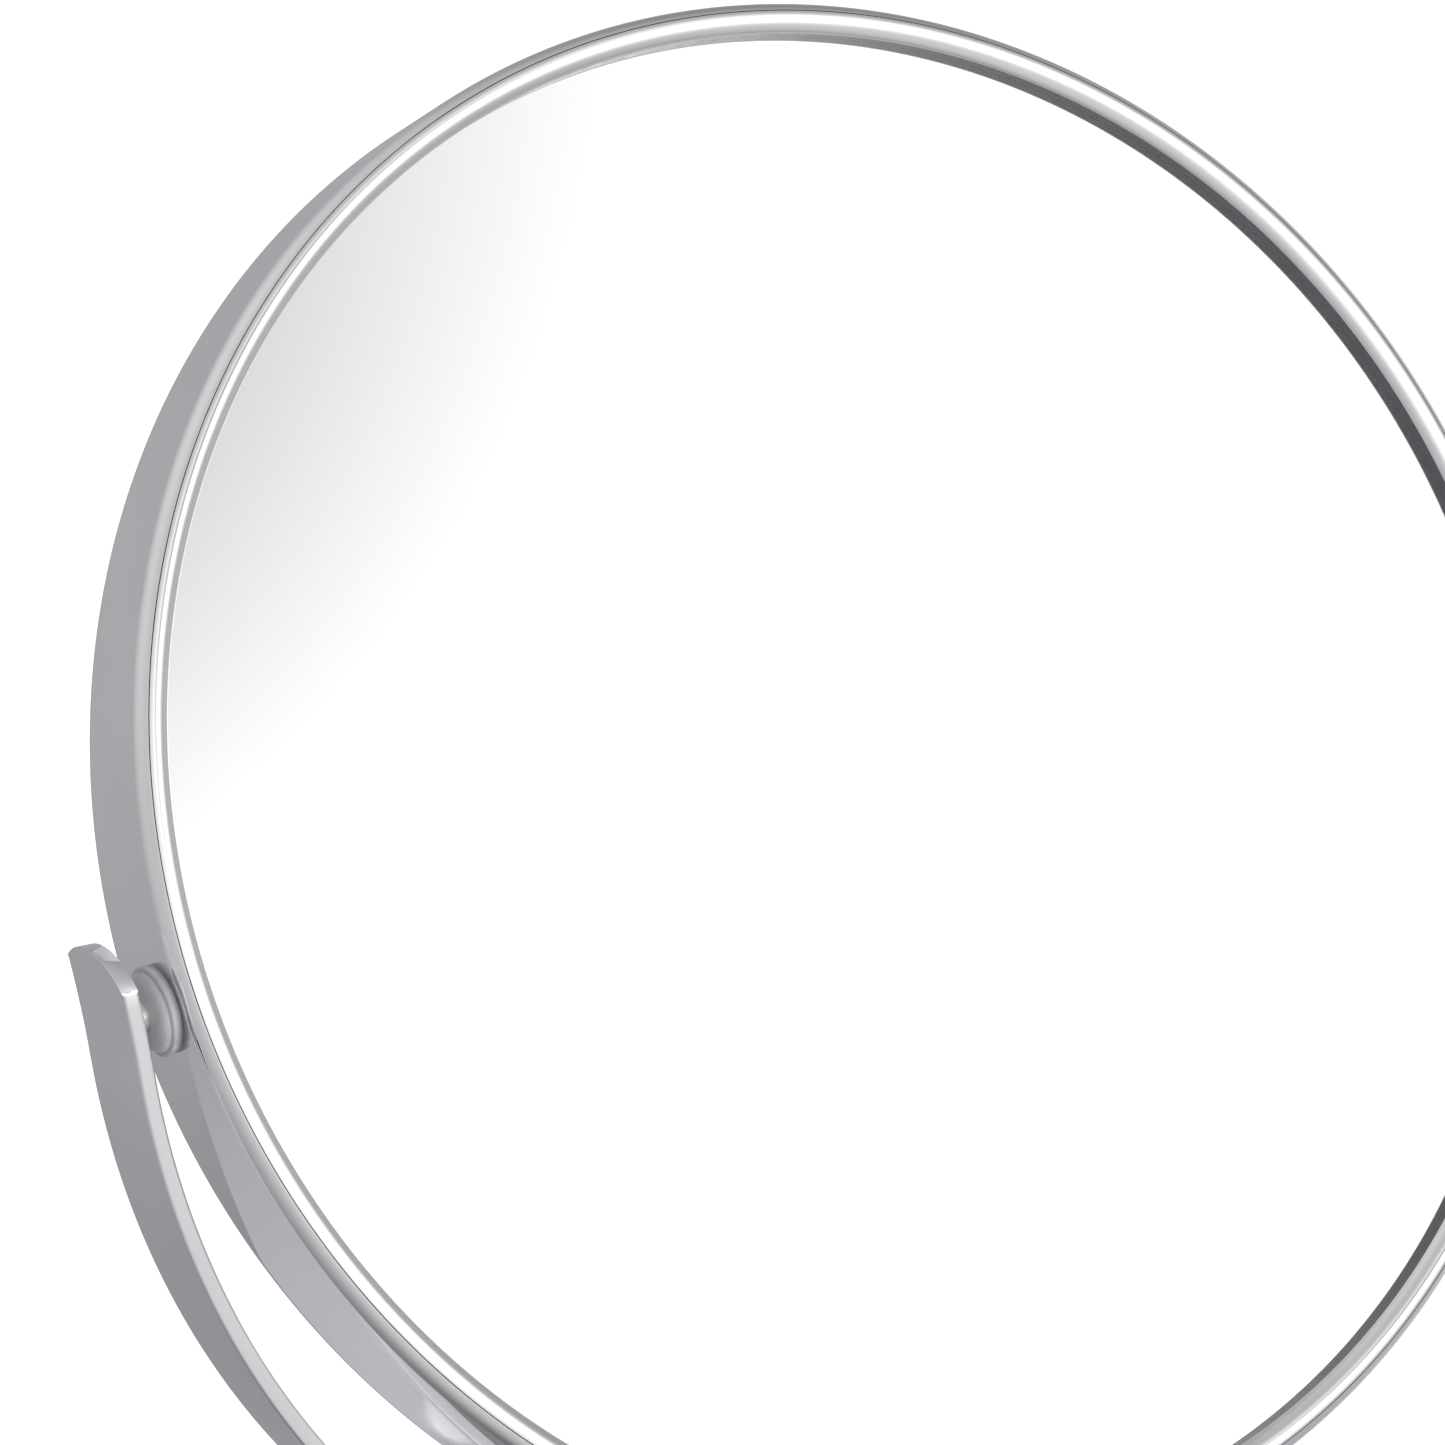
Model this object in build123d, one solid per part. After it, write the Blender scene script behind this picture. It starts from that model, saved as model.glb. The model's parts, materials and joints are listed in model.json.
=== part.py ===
"""Extendable shaving mirror: a reversible round mirror in a strap yoke, on a wall-mounted scissor arm.

Frame: origin in the middle of the wall plate's back face, +Y into the wall, +Z up, millimetres.
The arm leaves the wall towards -Y. It is modelled pointing straight out and then swung about the wall rod.
"""

import os
from math import cos, radians, sin, sqrt

from build123d import *

# ---- driving dimensions -------------------------------------------------------------------
MIRROR_R = 90.0          # outside of the rim
RIM_MID = -1.0           # middle of the rim behind the tilt axis
ROLL_R = 1.95            # round of each edge of the rim
ROLL_Z = 6.2             # middle of the rim to the centre of that round
SEAM_ANGLE = 65.0        # where band and bezel meet, up the round from the flat
BAND_WALL = 1.25
GLASS_FACE = 5.2         # middle of the rim to the face of a glass, at its edge
GASKET_T = 0.6
GLASS_R = 87.6
GLASS_T = 2.0
MAGNIFIER_R = 900.0      # radius of the concave glass

STRAP_T = 2.0
STRAP_W = 12.0
YOKE_R = 96.6            # outer face of the strap
YOKE_DROP = 4.75         # centre of the strap's arc below the tilt axis
STRAP_FLARE_R = 135.0    # outward curve of the strap's two ends
STRAP_END_R = 7.72       # round of each end, cut a little askew
STRAP_END_Y = 0.87
STRAP_END_Z = 1.13
STRAP_EDGE = 0.4

BAR_L = 110.0            # hole to hole
BAR_W = 13.0
BAR_T = 2.0
BAR_GAP = 3.0            # spacer between the two layers of bars
UNITS = 4
REST_ANGLE = 58.0        # of a bar above the horizontal
FLATTEST_ANGLE = 22.0
STEEPEST_ANGLE = 72.0
SWING_REST = -38.0       # turn of the arm about the wall rod
MIRROR_TILT = 21.2       # of the glass, back from upright

ROD_R = 3.0
ROD_STANDOFF = 15.0      # wall to the axis of the rod
BUSH_R = 6.0
BUSH_H = 16.0
BUSH_REACH = 13.5        # rod axis to the bar's pivot
PLATE_T = 2.5
PLATE_W = 32.0
PLATE_H = 168.0
SCREW_SPACING = 146.0
SCREW_R = 2.25
SINK_R = 4.2
SINK_DEPTH = 1.4
BRACKET_T = 2.0
BRACKET_W = 14.0
BRACKET_RIVET_Z = (-28.0, 28.0)
BRACKET_RIVET_R = 1.5

RIVET_R = 2.0
RIVET_HEAD_R = 4.0
RIVET_HEAD_H = 1.4
SPACER_R = 5.0
FIT = 0.02               # radial room round a fixed shank
RUN = 0.06               # radial room round a turning shank
AIR = 0.1                # between faces that slide

# ---- sizes that follow --------------------------------------------------------------------
BAR_IN = BAR_GAP / 2 + AIR            # inner face of a bar from the arm's mid plane
BAR_OUT = BAR_IN + BAR_T
TALLEST = BAR_L * sin(radians(STEEPEST_ANGLE))
TOP_ROOM = BUSH_H / 2 + 0.5
EAR_Z = (TOP_ROOM + TALLEST + BUSH_H / 2 + 1.4) / 2    # inner face of each ear of the rod bracket
TOP_Z = EAR_Z - TOP_ROOM                               # every upper pivot
LOW_Z = TOP_Z - BAR_L * sin(radians(REST_ANGLE))
STEP = BAR_L * cos(radians(REST_ANGLE))                # from one pivot to the next, outwards
ARM_OUT = 2 * BUSH_REACH + UNITS * STEP                # wall rod to stem
STEM_X = ARM_OUT * sin(radians(SWING_REST))
STEM_Y = -ROD_STANDOFF - ARM_OUT * cos(radians(SWING_REST))
BUSH_TOP = TOP_Z + BUSH_H / 2
BUSH_FOOT = TOP_Z - BUSH_H / 2
WASHER_T = 0.75
COLLAR_H = 5.0
COLLAR_FOOT = BUSH_TOP + 0.05 + WASHER_T + 0.05
YOKE_FOOT = COLLAR_FOOT + COLLAR_H + 0.05              # lowest point of the strap
CENTRE_Z = YOKE_FOOT + YOKE_R + YOKE_DROP              # tilt axis
STEM_END = TOP_Z - TALLEST - BUSH_H / 2 - 6.0
YOKE_IN = YOKE_R - STRAP_T
ROLL_C = MIRROR_R - ROLL_R                             # radius to the centre of the rim's round
LIP_R = ROLL_C - ROLL_R                                # inner edge of a bezel
STRAP_TOP = STRAP_END_Z + STRAP_END_R                  # end of the strap above the tilt axis

# ---- helpers ------------------------------------------------------------------------------
ROD_AXIS = Axis((0, -ROD_STANDOFF, 0), (0, 0, 1))


def swung(shape):
    """From the arm pointing straight out to the arm at rest."""
    return shape.rotate(ROD_AXIS, SWING_REST)


def lathe(*edges):
    """A solid of revolution about Z, from a closed outline of (radius, height) edges in the XZ plane."""
    return revolve(make_face(Plane.XZ * Curve(edges)), Axis.Z)


def turned(points):
    """A solid of revolution about Z with a straight-sided outline of (radius, height) points."""
    return revolve(make_face(Plane.XZ * Polyline(*points, close=True)), Axis.Z)


def tube(outer, inner, low, high):
    return turned([(inner, low), (outer, low), (outer, high), (inner, high)])


def along_x(shape, x=0.0, y=0.0, z=0.0, flip=False):
    """Lays a shape made along Z along +X, or along -X, with its own zero at the point given."""
    return Pos(x, y, z) * Rotation(0, -90 if flip else 90, 0) * shape


def dome(radius, height, base=0.0):
    """A button head about Z, flat at its base, its top part of a sphere."""
    edge = base + height * 0.3
    rise = base + height - edge
    ball = (radius**2 + rise**2) / (2 * rise)
    half = radius / 2
    return lathe(
        Line((0, base), (radius, base)),
        Line((radius, base), (radius, edge)),
        ThreePointArc((radius, edge), (half, edge + rise - ball + sqrt(ball**2 - half**2)), (0, base + height)),
        Line((0, base + height), (0, base)),
    )


def write(name, shape):
    """Writes one node, as its separate solids."""
    solids = shape.solids()
    whole = solids[0] if len(solids) == 1 else Compound(children=list(solids))
    export_step(whole, f"parts/{name}.step")


# ---- wall bracket -------------------------------------------------------------------------
def wall_plate():
    plate = extrude(Plane.XZ * SlotCenterToCenter(PLATE_H - PLATE_W, PLATE_W, rotation=90), PLATE_T)
    front = plate.faces().sort_by(Axis.Y)[0]
    plate = fillet(front.edges(), 1.2)
    for z in (-SCREW_SPACING / 2, SCREW_SPACING / 2):
        hole = Cylinder(SCREW_R, 3 * PLATE_T)
        sink = Pos(0, 0, PLATE_T - SINK_DEPTH / 2) * Cone(SCREW_R, SINK_R, SINK_DEPTH)
        plate -= Pos(0, 0, z) * Rotation(90, 0, 0) * (hole + sink)
    for z in BRACKET_RIVET_Z:
        plate -= Pos(0, -PLATE_T, z) * Rotation(90, 0, 0) * Cylinder(BRACKET_RIVET_R + FIT, 4.0)
    return plate


def rod_bracket():
    """The pressed channel that holds the wall rod between two ears."""
    height = 2 * (EAR_Z + BRACKET_T)
    web = Pos(0, -PLATE_T - BRACKET_T / 2, 0) * Box(BRACKET_W, BRACKET_T, height)
    ear_plan = Pos(0, -(PLATE_T + ROD_STANDOFF) / 2) * Rectangle(BRACKET_W, ROD_STANDOFF - PLATE_T)
    ear_plan += Pos(0, -ROD_STANDOFF) * Circle(BRACKET_W / 2)
    shape = web
    for z in (EAR_Z, -EAR_Z - BRACKET_T):
        shape += Pos(0, 0, z) * extrude(ear_plan, BRACKET_T)
    bends = shape.edges().filter_by(Axis.X).filter_by(
        lambda e: abs(abs(e.center().Z) - EAR_Z) < 0.01 and abs(e.center().Y + PLATE_T + BRACKET_T) < 0.01
    )
    shape = fillet(bends, 1.5)
    outer = shape.edges().filter_by(Axis.X).filter_by(
        lambda e: abs(abs(e.center().Z) - EAR_Z - BRACKET_T) < 0.01 and abs(e.center().Y + PLATE_T) < 0.01
    )
    shape = fillet(outer, 1.8)
    shape -= Pos(0, -ROD_STANDOFF, 0) * Cylinder(ROD_R + FIT, height + 2)
    for z in BRACKET_RIVET_Z:
        shape -= Pos(0, -PLATE_T, z) * Rotation(90, 0, 0) * Cylinder(BRACKET_RIVET_R + FIT, 6.0)
    return shape


def bracket_rivets():
    made = []
    for z in BRACKET_RIVET_Z:
        shank = Pos(0, 0, -BRACKET_T / 2 - 0.9) * Cylinder(BRACKET_RIVET_R, BRACKET_T + 1.8)
        rivet = dome(3.2, 1.1) + shank
        made.append(Pos(0, -PLATE_T - BRACKET_T, z) * Rotation(90, 0, 0) * rivet)
    return Compound(children=made)


CLIP_T = 0.8
GROOVE_R = 2.5


def rod(low, high, clip_z):
    """A plain rod with chamfered ends and a groove for the clip under the upper bush."""
    c = 0.5
    return turned([
        (0, low), (ROD_R - c, low), (ROD_R, low + c), (ROD_R, clip_z - 0.05), (GROOVE_R, clip_z - 0.05),
        (GROOVE_R, clip_z + CLIP_T + 0.05), (ROD_R, clip_z + CLIP_T + 0.05), (ROD_R, high - c),
        (ROD_R - c, high), (0, high),
    ])


def clip(z):
    """An open retaining ring that snaps into the rod's groove."""
    ring = tube(5.2, GROOVE_R + FIT, z, z + CLIP_T)
    mouth = Pos(-4.0, 0, z + CLIP_T / 2) * Box(8.0, 3.4, 3 * CLIP_T)
    eye = Pos(-3.6, 0, z + CLIP_T / 2) * Cylinder(2.2, 3 * CLIP_T)
    return ring - mouth - eye


CLIP_Z = BUSH_FOOT - 0.15 - CLIP_T


def cap_nut(radius, height, bore_depth):
    """A six-sided nut under a dome, with a blind bore, standing on Z = 0."""
    hexagon = extrude(RegularPolygon(radius, 6), height * 0.5)
    cap = dome(radius * 0.84, height * 0.55, height * 0.45)
    return hexagon + cap - Pos(0, 0, bore_depth / 2) * Cylinder(ROD_R + FIT, bore_depth)


def wall_rod_nuts():
    nut = cap_nut(5.6, 6.4, 3.6)
    upper = Pos(0, -ROD_STANDOFF, EAR_Z + BRACKET_T + 0.02) * nut
    lower = Pos(0, -ROD_STANDOFF, -EAR_Z - BRACKET_T - 0.02) * Rotation(180, 0, 0) * nut
    return Compound(children=[upper, lower])


# ---- scissor arm --------------------------------------------------------------------------
def bush():
    """A moulded barrel on the rod with a lug for one bar, made about Z, its lug towards -Y."""
    barrel = turned([
        (ROD_R + RUN, -BUSH_H / 2), (BUSH_R - 0.6, -BUSH_H / 2), (BUSH_R, -BUSH_H / 2 + 0.6),
        (BUSH_R, BUSH_H / 2 - 0.6), (BUSH_R - 0.6, BUSH_H / 2), (ROD_R + RUN, BUSH_H / 2),
    ])
    lug_side = Pos(-BUSH_REACH, 0) * Circle(BAR_W / 2)
    lug_side += Pos(-BUSH_REACH / 2 - ROD_R / 2, 0) * Rectangle(BUSH_REACH - ROD_R - 1.5, BAR_W - 1.0)
    lug = extrude(Plane.YZ * lug_side, BAR_GAP / 2, both=True)
    bore = Cylinder(ROD_R + RUN, BUSH_H + 2)
    pin = Pos(0, -BUSH_REACH, 0) * Rotation(0, 90, 0) * Cylinder(RIVET_R + FIT, 3 * BAR_GAP)
    return barrel + lug - bore - pin


def bar(start, end, side):
    """One flat bar with round ends, between two (y, z) pivots, on the +X or -X side of the arm's mid plane."""
    (y0, z0), (y1, z1) = start, end
    low = BAR_IN if side > 0 else -BAR_OUT
    plane = Plane(origin=(low, (y0 + y1) / 2, (z0 + z1) / 2), x_dir=(0, y1 - y0, z1 - z0), z_dir=(1, 0, 0))
    body = extrude(plane * SlotCenterToCenter(BAR_L, BAR_W), BAR_T)
    body = fillet(body.edges().filter_by(lambda e: abs(e.center().X - low) < 1e-3 or
                                         abs(e.center().X - low - BAR_T) < 1e-3), 0.35)
    for y, z in (start, end, ((y0 + y1) / 2, (z0 + z1) / 2)):
        body -= Pos(low + BAR_T / 2, y, z) * Rotation(0, 90, 0) * Cylinder(RIVET_R + RUN, 3 * BAR_T)
    return body


def rivet(y, z, left, right):
    """A shank along X from the face at left to the face at right, with a domed head at each end."""
    shank = Pos((left + right) / 2, y, z) * Rotation(0, 90, 0) * Cylinder(RIVET_R, right - left)
    head = dome(RIVET_HEAD_R, RIVET_HEAD_H)
    return shank + along_x(head, right, y, z) + along_x(head, left, y, z, flip=True)


def spacer(y, z):
    """A nylon washer that keeps the two layers of bars apart."""
    return along_x(tube(SPACER_R, RIVET_R + RUN, -BAR_GAP / 2, BAR_GAP / 2), 0, y, z)


def pivots():
    """The (y, z) of the upper, middle and lower pivots, outwards from the wall."""
    upper = [(-ROD_STANDOFF - BUSH_REACH - i * STEP, TOP_Z) for i in range(UNITS + 1)]
    lower = [(y, LOW_Z) for y, _ in upper]
    middle = [(upper[i][0] - STEP / 2, (TOP_Z + LOW_Z) / 2) for i in range(UNITS)]
    return upper, middle, lower


def write_arm():
    upper, middle, lower = pivots()
    outer = BAR_OUT + AIR
    for i in range(UNITS):
        n = i + 1
        write(f"scissor_bar_a{n}", swung(bar(lower[i], upper[i + 1], +1)))
        write(f"scissor_bar_b{n}", swung(bar(upper[i], lower[i + 1], -1)))
        crossing = [middle[i]]
        if n < UNITS:
            crossing.append(lower[i + 1])
            write(f"upper_rivet_a{n}", swung(rivet(*upper[i + 1], -outer, outer)))
            write(f"upper_spacer_a{n}", swung(spacer(*upper[i + 1])))
        write(f"rivets_b{n}", Compound(children=[swung(rivet(y, z, -outer, outer)) for y, z in crossing]))
        write(f"spacers_b{n}", Compound(children=[swung(spacer(y, z)) for y, z in crossing]))
    lug = BAR_GAP / 2
    stations = (
        ("wall_bush_upper", -ROD_STANDOFF, TOP_Z, 0, upper[0], (-outer, lug)),
        ("wall_bush_lower", -ROD_STANDOFF, LOW_Z, 0, lower[0], (-lug, outer)),
        ("head_bush_upper", -ROD_STANDOFF - ARM_OUT, TOP_Z, 180, upper[-1], (-lug, outer)),
        ("head_bush_lower", -ROD_STANDOFF - ARM_OUT, LOW_Z, 180, lower[-1], (-outer, lug)),
    )
    for name, y, z, turn, pivot, ends in stations:
        write(name, swung(Pos(0, y, z) * Rotation(0, 0, turn) * bush()))
        write(f"{name}_rivet", swung(rivet(*pivot, *ends)))


# ---- yoke and stem ------------------------------------------------------------------------
def at_stem(shape):
    return Pos(STEM_X, STEM_Y, 0) * shape


def at_mirror(shape):
    return Pos(STEM_X, STEM_Y, CENTRE_Z) * shape


FLARE_C = YOKE_R + STRAP_FLARE_R                       # centre of a flared end, from the middle
STRAP_IN = FLARE_C - sqrt((STRAP_FLARE_R + STRAP_T) ** 2 - YOKE_DROP**2)   # strap's inner face at the axis
PIN_R = 1.9              # of the pivot between the strap and the mirror
TIP_R = 1.2              # of its end, inside the mirror
SPIGOT_R = 1.5           # of its end, in the strap
STUD_FACE = STRAP_IN - 0.12
SPIGOT_L = 1.0
TIP_END = MIRROR_R - 7.4
TIP_START = MIRROR_R - 2.2


def strap_arc():
    """The U of the strap in the XZ plane: half a ring, then an end on each side that flares outwards."""
    ring = Circle(YOKE_R) - Circle(YOKE_IN)
    reach = 2 * YOKE_R
    shape = ring - Pos(0, reach / 2) * Rectangle(2 * reach, reach)
    for side in (-1, 1):
        flare = Circle(STRAP_FLARE_R + STRAP_T) - Circle(STRAP_FLARE_R)
        window = Pos(side * YOKE_R, 10) * Rectangle(20, 20)
        shape += (Pos(side * FLARE_C, 0) * flare) & window
    return Plane.XZ * Pos(0, -YOKE_DROP) * shape


def yoke():
    """The flat strap bent into a U, its ends rounded, about the mirror's centre."""
    half = STRAP_W / 2
    front = STRAP_END_Z + sqrt(STRAP_END_R**2 - (half + STRAP_END_Y) ** 2)
    rear = STRAP_END_Z + sqrt(STRAP_END_R**2 - (half - STRAP_END_Y) ** 2)
    foot = -YOKE_DROP - YOKE_R - 5
    outline = Curve((
        Line((-half, front), (-half, foot)),
        Line((-half, foot), (half, foot)),
        Line((half, foot), (half, rear)),
        ThreePointArc((half, rear), (STRAP_END_Y, STRAP_TOP), (-half, front)),
    ))
    side = extrude(make_face(Plane.YZ * outline), YOKE_R + 8, both=True)
    strap = extrude(strap_arc(), STRAP_W, both=True) & side
    strap = fillet(strap.edges().filter_by(Axis.Y, reverse=True), STRAP_EDGE)
    strap -= Pos(0, 0, -YOKE_DROP - YOKE_R) * Cylinder(ROD_R + FIT, 10)
    for flip in (False, True):
        hole = Pos(0, 0, STUD_FACE + SPIGOT_L / 2) * Cylinder(SPIGOT_R + FIT, SPIGOT_L + 0.2)
        strap -= along_x(hole, flip=flip)
    return strap


def pivot_stud(flip):
    """A stepped pin fixed in a blind hole in the strap: spigot, shank, and the tip that carries the mirror."""
    stud = turned([
        (0, TIP_END), (TIP_R - 0.3, TIP_END), (TIP_R, TIP_END + 0.3), (TIP_R, TIP_START), (PIN_R, TIP_START),
        (PIN_R, STUD_FACE), (SPIGOT_R, STUD_FACE), (SPIGOT_R, STUD_FACE + SPIGOT_L), (0, STUD_FACE + SPIGOT_L),
    ])
    return along_x(stud, flip=flip)


def pivot_washer(flip):
    """A plastic washer with a round shoulder, pushed onto the pin."""
    low, high, r, bore, edge = MIRROR_R + 1.3, MIRROR_R + 2.4, 4.6, PIN_R + FIT, 0.7
    middle = edge * sqrt(0.5)
    body = lathe(
        Line((bore, low), (r, low)),
        Line((r, low), (r, high - edge)),
        ThreePointArc((r, high - edge), (r - edge + middle, high - edge + middle), (r - edge, high)),
        Line((r - edge, high), (bore, high)),
        Line((bore, high), (bore, low)),
    )
    return along_x(body, flip=flip)


def stem_parts():
    top = YOKE_FOOT + STRAP_T + 0.2
    collar = turned([
        (ROD_R + FIT, COLLAR_FOOT), (6.4, COLLAR_FOOT), (7.0, COLLAR_FOOT + 0.6), (7.0, YOKE_FOOT - 1.6),
        (5.6, YOKE_FOOT - 0.05), (ROD_R + FIT, YOKE_FOOT - 0.05),
    ])
    write("stem", at_stem(rod(STEM_END, top + 3.4, CLIP_Z)))
    write("stem_collar", at_stem(collar))
    write("stem_nut", at_stem(Pos(0, 0, top) * cap_nut(5.6, 6.0, 3.6)))
    write("stem_clip", at_stem(clip(CLIP_Z)))
    end = lathe(
        Line((0, STEM_END - 4.2), (1.6, STEM_END - 4.2)),
        ThreePointArc((1.6, STEM_END - 4.2), (3.9, STEM_END - 3.0), (4.6, STEM_END - 0.6)),
        Line((4.6, STEM_END - 0.6), (4.6, STEM_END + 3.2)),
        Line((4.6, STEM_END + 3.2), (ROD_R + FIT, STEM_END + 3.2)),
        Line((ROD_R + FIT, STEM_END + 3.2), (ROD_R + FIT, STEM_END - 0.02)),
        Line((ROD_R + FIT, STEM_END - 0.02), (0, STEM_END - 0.02)),
        Line((0, STEM_END - 0.02), (0, STEM_END - 4.2)),
    )
    write("stem_end_cap", at_stem(end))


def thrust_washer(low):
    return tube(5.8, ROD_R + RUN, low, low + WASHER_T)


# ---- mirror -------------------------------------------------------------------------------
def tilted(shape):
    """From a piece modelled about Z, face up, with Z = 0 on the tilt axis, to its place in the yoke."""
    return at_mirror(Rotation(90 - MIRROR_TILT, 0, 0) * shape)


def rimmed(shape, rear=False):
    """From a piece modelled face up about the middle of the rim, for the front or turned over for the rear."""
    return tilted(Pos(0, 0, RIM_MID) * Rotation(180 if rear else 0, 0, 0) * shape)


def across(shape):
    """From a piece along the tilt axis to its place in the yoke."""
    return at_mirror(Rotation(-MIRROR_TILT, 0, 0) * shape)


SKIRT_LOW = 3.7          # foot of a bezel's skirt, from the middle of the rim
SLEEVE_R = 2.5           # outside of the ferrule in the band's hole
PIVOT_BUSH_R = 1.7
SEAM = 0.05


def on_round(radius, angle):
    """A point of (radius, height) on a round about the centre of the rim's roll, angle 0 outwards."""
    return (ROLL_C + radius * cos(radians(angle)), ROLL_Z + radius * sin(radians(angle)))


def ring_band():
    """The steel band, flat round the middle, with both its edges rolled in."""
    wall = ROLL_R - BAND_WALL
    (seam_r, seam_z), (inner_r, inner_z) = on_round(ROLL_R, SEAM_ANGLE), on_round(wall, SEAM_ANGLE)
    (half_r, half_z), (inside_r, inside_z) = on_round(ROLL_R, SEAM_ANGLE / 2), on_round(wall, SEAM_ANGLE / 2)
    band_in = MIRROR_R - BAND_WALL
    band = lathe(
        Line((MIRROR_R, -ROLL_Z), (MIRROR_R, ROLL_Z)),
        ThreePointArc((MIRROR_R, ROLL_Z), (half_r, half_z), (seam_r, seam_z)),
        Line((seam_r, seam_z), (inner_r, inner_z)),
        ThreePointArc((inner_r, inner_z), (inside_r, inside_z), (band_in, ROLL_Z)),
        Line((band_in, ROLL_Z), (band_in, -ROLL_Z)),
        ThreePointArc((band_in, -ROLL_Z), (inside_r, -inside_z), (inner_r, -inner_z)),
        Line((inner_r, -inner_z), (seam_r, -seam_z)),
        ThreePointArc((seam_r, -seam_z), (half_r, -half_z), (MIRROR_R, -ROLL_Z)),
    )
    return band - Pos(0, 0, -RIM_MID) * Rotation(0, 90, 0) * Cylinder(SLEEVE_R + FIT, 3 * MIRROR_R)


def bezel():
    """The bead that goes on round where the band ends, with the skirt that slides inside the band."""
    seat, skirt_in = GLASS_FACE + GASKET_T + 0.05, GLASS_R + 0.15
    skirt_out = on_round(ROLL_R - BAND_WALL, SEAM_ANGLE)[0] - SEAM
    start = SEAM_ANGLE + 1.5
    inner = on_round(ROLL_R - BAND_WALL, start)
    return lathe(
        ThreePointArc(on_round(ROLL_R, start), on_round(ROLL_R, (start + 180) / 2), (LIP_R, ROLL_Z)),
        Line((LIP_R, ROLL_Z), (LIP_R, seat)),
        Line((LIP_R, seat), (skirt_in, seat)),
        Line((skirt_in, seat), (skirt_in, SKIRT_LOW)),
        Line((skirt_in, SKIRT_LOW), (skirt_out, SKIRT_LOW)),
        Line((skirt_out, SKIRT_LOW), (skirt_out, inner[1])),
        Line((skirt_out, inner[1]), on_round(ROLL_R, start)),
    )


def gasket():
    """The flat black ring between the glass and the bezel."""
    return tube(GLASS_R, LIP_R + 0.1, GLASS_FACE + 0.02, GLASS_FACE + 0.02 + GASKET_T)


def sag(r):
    """How far the concave glass has sunk at radius r, from its rim."""
    return sqrt(MAGNIFIER_R**2 - r**2) - sqrt(MAGNIFIER_R**2 - GLASS_R**2)


def front_glass():
    return turned([
        (0, GLASS_FACE - GLASS_T), (GLASS_R, GLASS_FACE - GLASS_T), (GLASS_R, GLASS_FACE - 0.3),
        (GLASS_R - 0.3, GLASS_FACE), (0, GLASS_FACE),
    ])


def rear_glass():
    """The concave magnifying glass, of an even thickness, made as a front glass is."""
    face, back, half = GLASS_FACE, GLASS_FACE - GLASS_T, GLASS_R / 2
    return lathe(
        Line((0, back - sag(0)), (0, face - sag(0))),
        ThreePointArc((0, face - sag(0)), (half, face - sag(half)), (GLASS_R, face)),
        Line((GLASS_R, face), (GLASS_R, back)),
        ThreePointArc((GLASS_R, back), (half, back - sag(half)), (0, back - sag(0))),
    )


def inner_hoop():
    """The moulded hoop inside the band, with a boss behind each pivot, about the tilt axis."""
    half = RIM_MID + GLASS_FACE - GLASS_T - 0.1
    hoop = tube(GLASS_R, GLASS_R - 2.2, -half, half)
    for side in (-1, 1):
        hoop += Pos(side * (GLASS_R - 3.5), 0, 0) * Box(4.2, 12.0, 2 * half)
    return hoop - Rotation(0, 90, 0) * Cylinder(PIVOT_BUSH_R + FIT, 3 * MIRROR_R)


def pivot_bush(flip):
    """The brass bush that turns on the stud's tip."""
    return along_x(tube(PIVOT_BUSH_R, TIP_R + RUN, GLASS_R - 5.5, GLASS_R - 0.1), flip=flip)


def pivot_ferrule(flip):
    """The flanged sleeve in the band's hole."""
    root, foot, top, bore, flange = MIRROR_R - 2.0, MIRROR_R + 0.15, MIRROR_R + 1.2, PIN_R + RUN, 5.1
    body = turned([
        (bore, root), (SLEEVE_R, root), (SLEEVE_R, foot), (flange, foot), (flange, top - 0.25),
        (flange - 0.25, top), (bore, top),
    ])
    return along_x(body, flip=flip)


# ---- write every node ---------------------------------------------------------------------
def main():
    os.makedirs("parts", exist_ok=True)
    at_rod = Pos(0, -ROD_STANDOFF, 0)
    write("wall_plate", wall_plate())
    write("rod_bracket", rod_bracket())
    write("bracket_rivets", bracket_rivets())
    write("wall_rod", at_rod * rod(-EAR_Z - BRACKET_T - 3.4, EAR_Z + BRACKET_T + 3.4, CLIP_Z))
    write("wall_rod_nuts", wall_rod_nuts())
    write("wall_rod_clip", at_rod * clip(CLIP_Z))
    write_arm()
    write("head_thrust_washer", at_stem(thrust_washer(BUSH_TOP + 0.05)))

    write("yoke", at_mirror(yoke()))
    write("pivot_stud_left", at_mirror(pivot_stud(True)))
    write("pivot_stud_right", at_mirror(pivot_stud(False)))
    write("pivot_washers", Compound(children=[at_mirror(pivot_washer(f)) for f in (True, False)]))
    stem_parts()

    write("ring_band", rimmed(ring_band()))
    for side, rear in (("front", False), ("rear", True)):
        write(f"{side}_bezel", rimmed(bezel(), rear))
        write(f"{side}_gasket", rimmed(gasket(), rear))
    write("front_glass", rimmed(front_glass()))
    write("rear_glass", rimmed(rear_glass(), rear=True))
    write("inner_hoop", tilted(inner_hoop()))
    write("backing_board", tilted(Pos(0, 0, 1.65) * Cylinder(81.5, 0.9)))
    write("foam_ring", tilted(tube(80.0, 70.0, -2.4, 1.15)))
    write("pivot_bushes", Compound(children=[across(pivot_bush(f)) for f in (True, False)]))
    write("pivot_ferrules", Compound(children=[across(pivot_ferrule(f)) for f in (True, False)]))


main()
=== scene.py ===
# %% [markdown]
# # An extendable shaving mirror, dressed for its portrait
#
# The CAD model gives every piece its size and place. This lesson gives the pieces their chrome, glass
# and nylon, rebuilds the ones whose polish needs a finer surface, and lights them like a product shot.
# First the frame is loaded, and its box is kept, so that the floor can be laid just under it.

# %% Load the frame
import json
from math import asin, cos, degrees, pi, radians, sin, sqrt

import bmesh
import bpy
from mathutils import Matrix, Vector


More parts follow.
